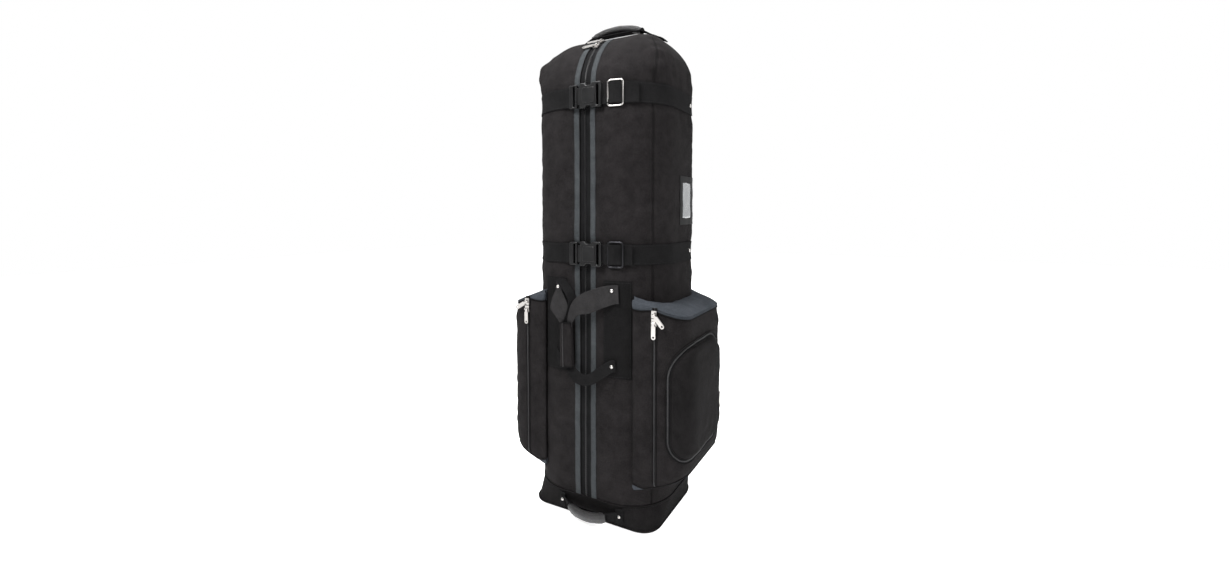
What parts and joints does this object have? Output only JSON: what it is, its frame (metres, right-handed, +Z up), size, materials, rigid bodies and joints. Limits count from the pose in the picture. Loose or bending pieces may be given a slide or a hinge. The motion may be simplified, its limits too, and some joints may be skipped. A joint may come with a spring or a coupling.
{
  "type": "golf travel case",
  "caption": "Upright soft travel case for a golf bag, with a full-length front zipper, side pockets, compression straps, handles and in-line wheels.",
  "frame": {"origin": "centre of the base, on the plane that the skid rails stand on", "axes": "+Z up along the case, -Y out of the zippered front, +X to the case's right"},
  "size_m": [0.538, 0.4057, 1.3135],
  "materials": {
    "shell_fabric": "woven polyester, matt",
    "grey_fabric": "woven polyester, matt",
    "webbing": "ribbed webbing, matt",
    "zipper": "woven tape and moulded coil",
    "grip": "padded synthetic grip, matt",
    "nickel": "nickel plated",
    "dark_metal": "dark nickel, satin",
    "buckle_plastic": "satin acetal",
    "vinyl": "matt vinyl",
    "clear_film": "clear vinyl window",
    "foam": "closed cell foam",
    "moulded_plastic": "textured polypropylene",
    "wheel_rubber": "polyurethane tyre"
  },
  "bodies": {
    "case": {"back_panel": "shell_fabric", "base_boot": "shell_fabric", "base_tray": "moulded_plastic", "buckle_bodies": "buckle_plastic", "card_holder_frame": "vinyl", "card_holder_window": "clear_film", "carry_grip_wrap": "grip", "carry_patches": "webbing", "carry_studs": "nickel", "crown_padding": "foam", "front_left_panel": "shell_fabric", "front_right_panel": "shell_fabric", "handle_anchors": "webbing", "left_carry_webbing": "webbing", "left_pocket_panel": "shell_fabric", "left_pocket_top": "grey_fabric", "left_side_panel": "shell_fabric", "left_straps": "webbing", "left_upper_slider": "nickel", "main_rear_slider": "nickel", "middle_adjuster_ring": "dark_metal", "pocket_bottoms": "grey_fabric", "pocket_zippers": "zipper", "right_carry_webbing": "webbing", "right_pocket_panel": "shell_fabric", "right_pocket_top": "grey_fabric", "right_side_panel": "shell_fabric", "right_straps": "webbing", "right_upper_slider": "nickel", "skid_rails": "moulded_plastic", "small_pocket_panel": "shell_fabric", "small_pocket_zipper": "zipper", "strap_rivets": "nickel", "upper_adjuster_ring": "nickel", "wheel_axles": "nickel", "wheel_housings": "moulded_plastic", "zipper_chain": "zipper", "zipper_tapes": "zipper", "zipper_trims": "grey_fabric"},
    "top_handle": {"top_handle_strap": "webbing", "top_handle_grip": "grip"},
    "foot_handle": {"foot_handle_strap": "webbing", "foot_handle_grip": "grip"},
    "left_wheel": {"left_wheel_tyre": "wheel_rubber", "left_wheel_hub": "moulded_plastic"},
    "right_wheel": {"right_wheel_tyre": "wheel_rubber", "right_wheel_hub": "moulded_plastic"},
    "upper_catch": {"upper_buckle_catch": "buckle_plastic"},
    "middle_catch": {"middle_buckle_catch": "buckle_plastic"},
    "main_slider": {"main_front_slider": "nickel"},
    "main_front_tab": {"main_front_pull": "nickel"},
    "main_rear_tab": {"main_rear_pull": "nickel"},
    "left_slider": {"left_lower_slider": "nickel"},
    "left_lower_tab": {"left_lower_pull": "nickel"},
    "left_upper_tab": {"left_upper_pull": "nickel"},
    "right_slider": {"right_lower_slider": "nickel"},
    "right_lower_tab": {"right_lower_pull": "nickel"},
    "right_upper_tab": {"right_upper_pull": "nickel"},
    "small_slider": {"small_pocket_slider": "nickel"},
    "small_tab": {"small_pocket_pull": "nickel"}
  },
  "joints": [
    {"name": "top_handle_swing", "type": "hinge", "parent": "case", "child": "top_handle", "pos_m": [0, 0, 1.275], "axis": [1, 0, 0], "range_deg": [-48, 48]},
    {"name": "foot_handle_swing", "type": "hinge", "parent": "case", "child": "foot_handle", "pos_m": [0.012, -0.171, 0.036], "axis": [-1, 0, 0], "range_deg": [0, 58]},
    {"name": "left_wheel_spin", "type": "hinge", "parent": "case", "child": "left_wheel", "pos_m": [-0.108, 0.168, 0.033], "axis": [1, 0, 0], "continuous": true},
    {"name": "right_wheel_spin", "type": "hinge", "parent": "case", "child": "right_wheel", "pos_m": [0.108, 0.168, 0.033], "axis": [1, 0, 0], "continuous": true},
    {"name": "upper_catch_release", "type": "slide", "parent": "case", "child": "upper_catch", "axis": [-1, 0, 0], "range_m": [0, 0.045]},
    {"name": "middle_catch_release", "type": "slide", "parent": "case", "child": "middle_catch", "axis": [-1, 0, 0], "range_m": [0, 0.045]},
    {"name": "main_slider_travel", "type": "hinge", "parent": "case", "child": "main_slider", "pos_m": [0, 0, 1.1], "axis": [1, 0, 0], "range_deg": [0, 36]},
    {"name": "main_front_tab_swing", "type": "hinge", "parent": "main_slider", "child": "main_front_tab", "pos_m": [0, -0.1183, 1.23139], "axis": [0.1392, -0.7359, -0.6626], "range_deg": [-160, 0]},
    {"name": "main_rear_tab_swing", "type": "hinge", "parent": "case", "child": "main_rear_tab", "pos_m": [0, -0.09369, 1.24994], "axis": [0.1392, -0.8398, -0.5248], "range_deg": [-160, 0]},
    {"name": "left_slider_travel", "type": "slide", "parent": "case", "child": "left_slider", "axis": [0, 0, 1], "range_m": [-0.375, 0]},
    {"name": "left_lower_tab_swing", "type": "hinge", "parent": "left_slider", "child": "left_lower_tab", "pos_m": [-0.19, -0.1725, 0.534], "axis": [1, 0, 0], "range_deg": [-160, 0]},
    {"name": "left_upper_tab_swing", "type": "hinge", "parent": "case", "child": "left_upper_tab", "pos_m": [-0.19, -0.1725, 0.554], "axis": [0.5, 0, -0.866], "range_deg": [-160, 0]},
    {"name": "right_slider_travel", "type": "slide", "parent": "case", "child": "right_slider", "axis": [0, 0, 1], "range_m": [-0.375, 0]},
    {"name": "right_lower_tab_swing", "type": "hinge", "parent": "right_slider", "child": "right_lower_tab", "pos_m": [0.19, -0.1725, 0.534], "axis": [1, 0, 0], "range_deg": [-160, 0]},
    {"name": "right_upper_tab_swing", "type": "hinge", "parent": "case", "child": "right_upper_tab", "pos_m": [0.19, -0.1725, 0.554], "axis": [0.766, 0, 0.6428], "range_deg": [-160, 0]},
    {"name": "small_slider_travel", "type": "slide", "parent": "case", "child": "small_slider", "axis": [0, 0, 1], "range_m": [-0.045, 0.085]},
    {"name": "small_tab_swing", "type": "hinge", "parent": "small_slider", "child": "small_tab", "pos_m": [0.271, 0.091, 0.3], "axis": [0, 1, 0], "range_deg": [-160, 0]}
  ]
}
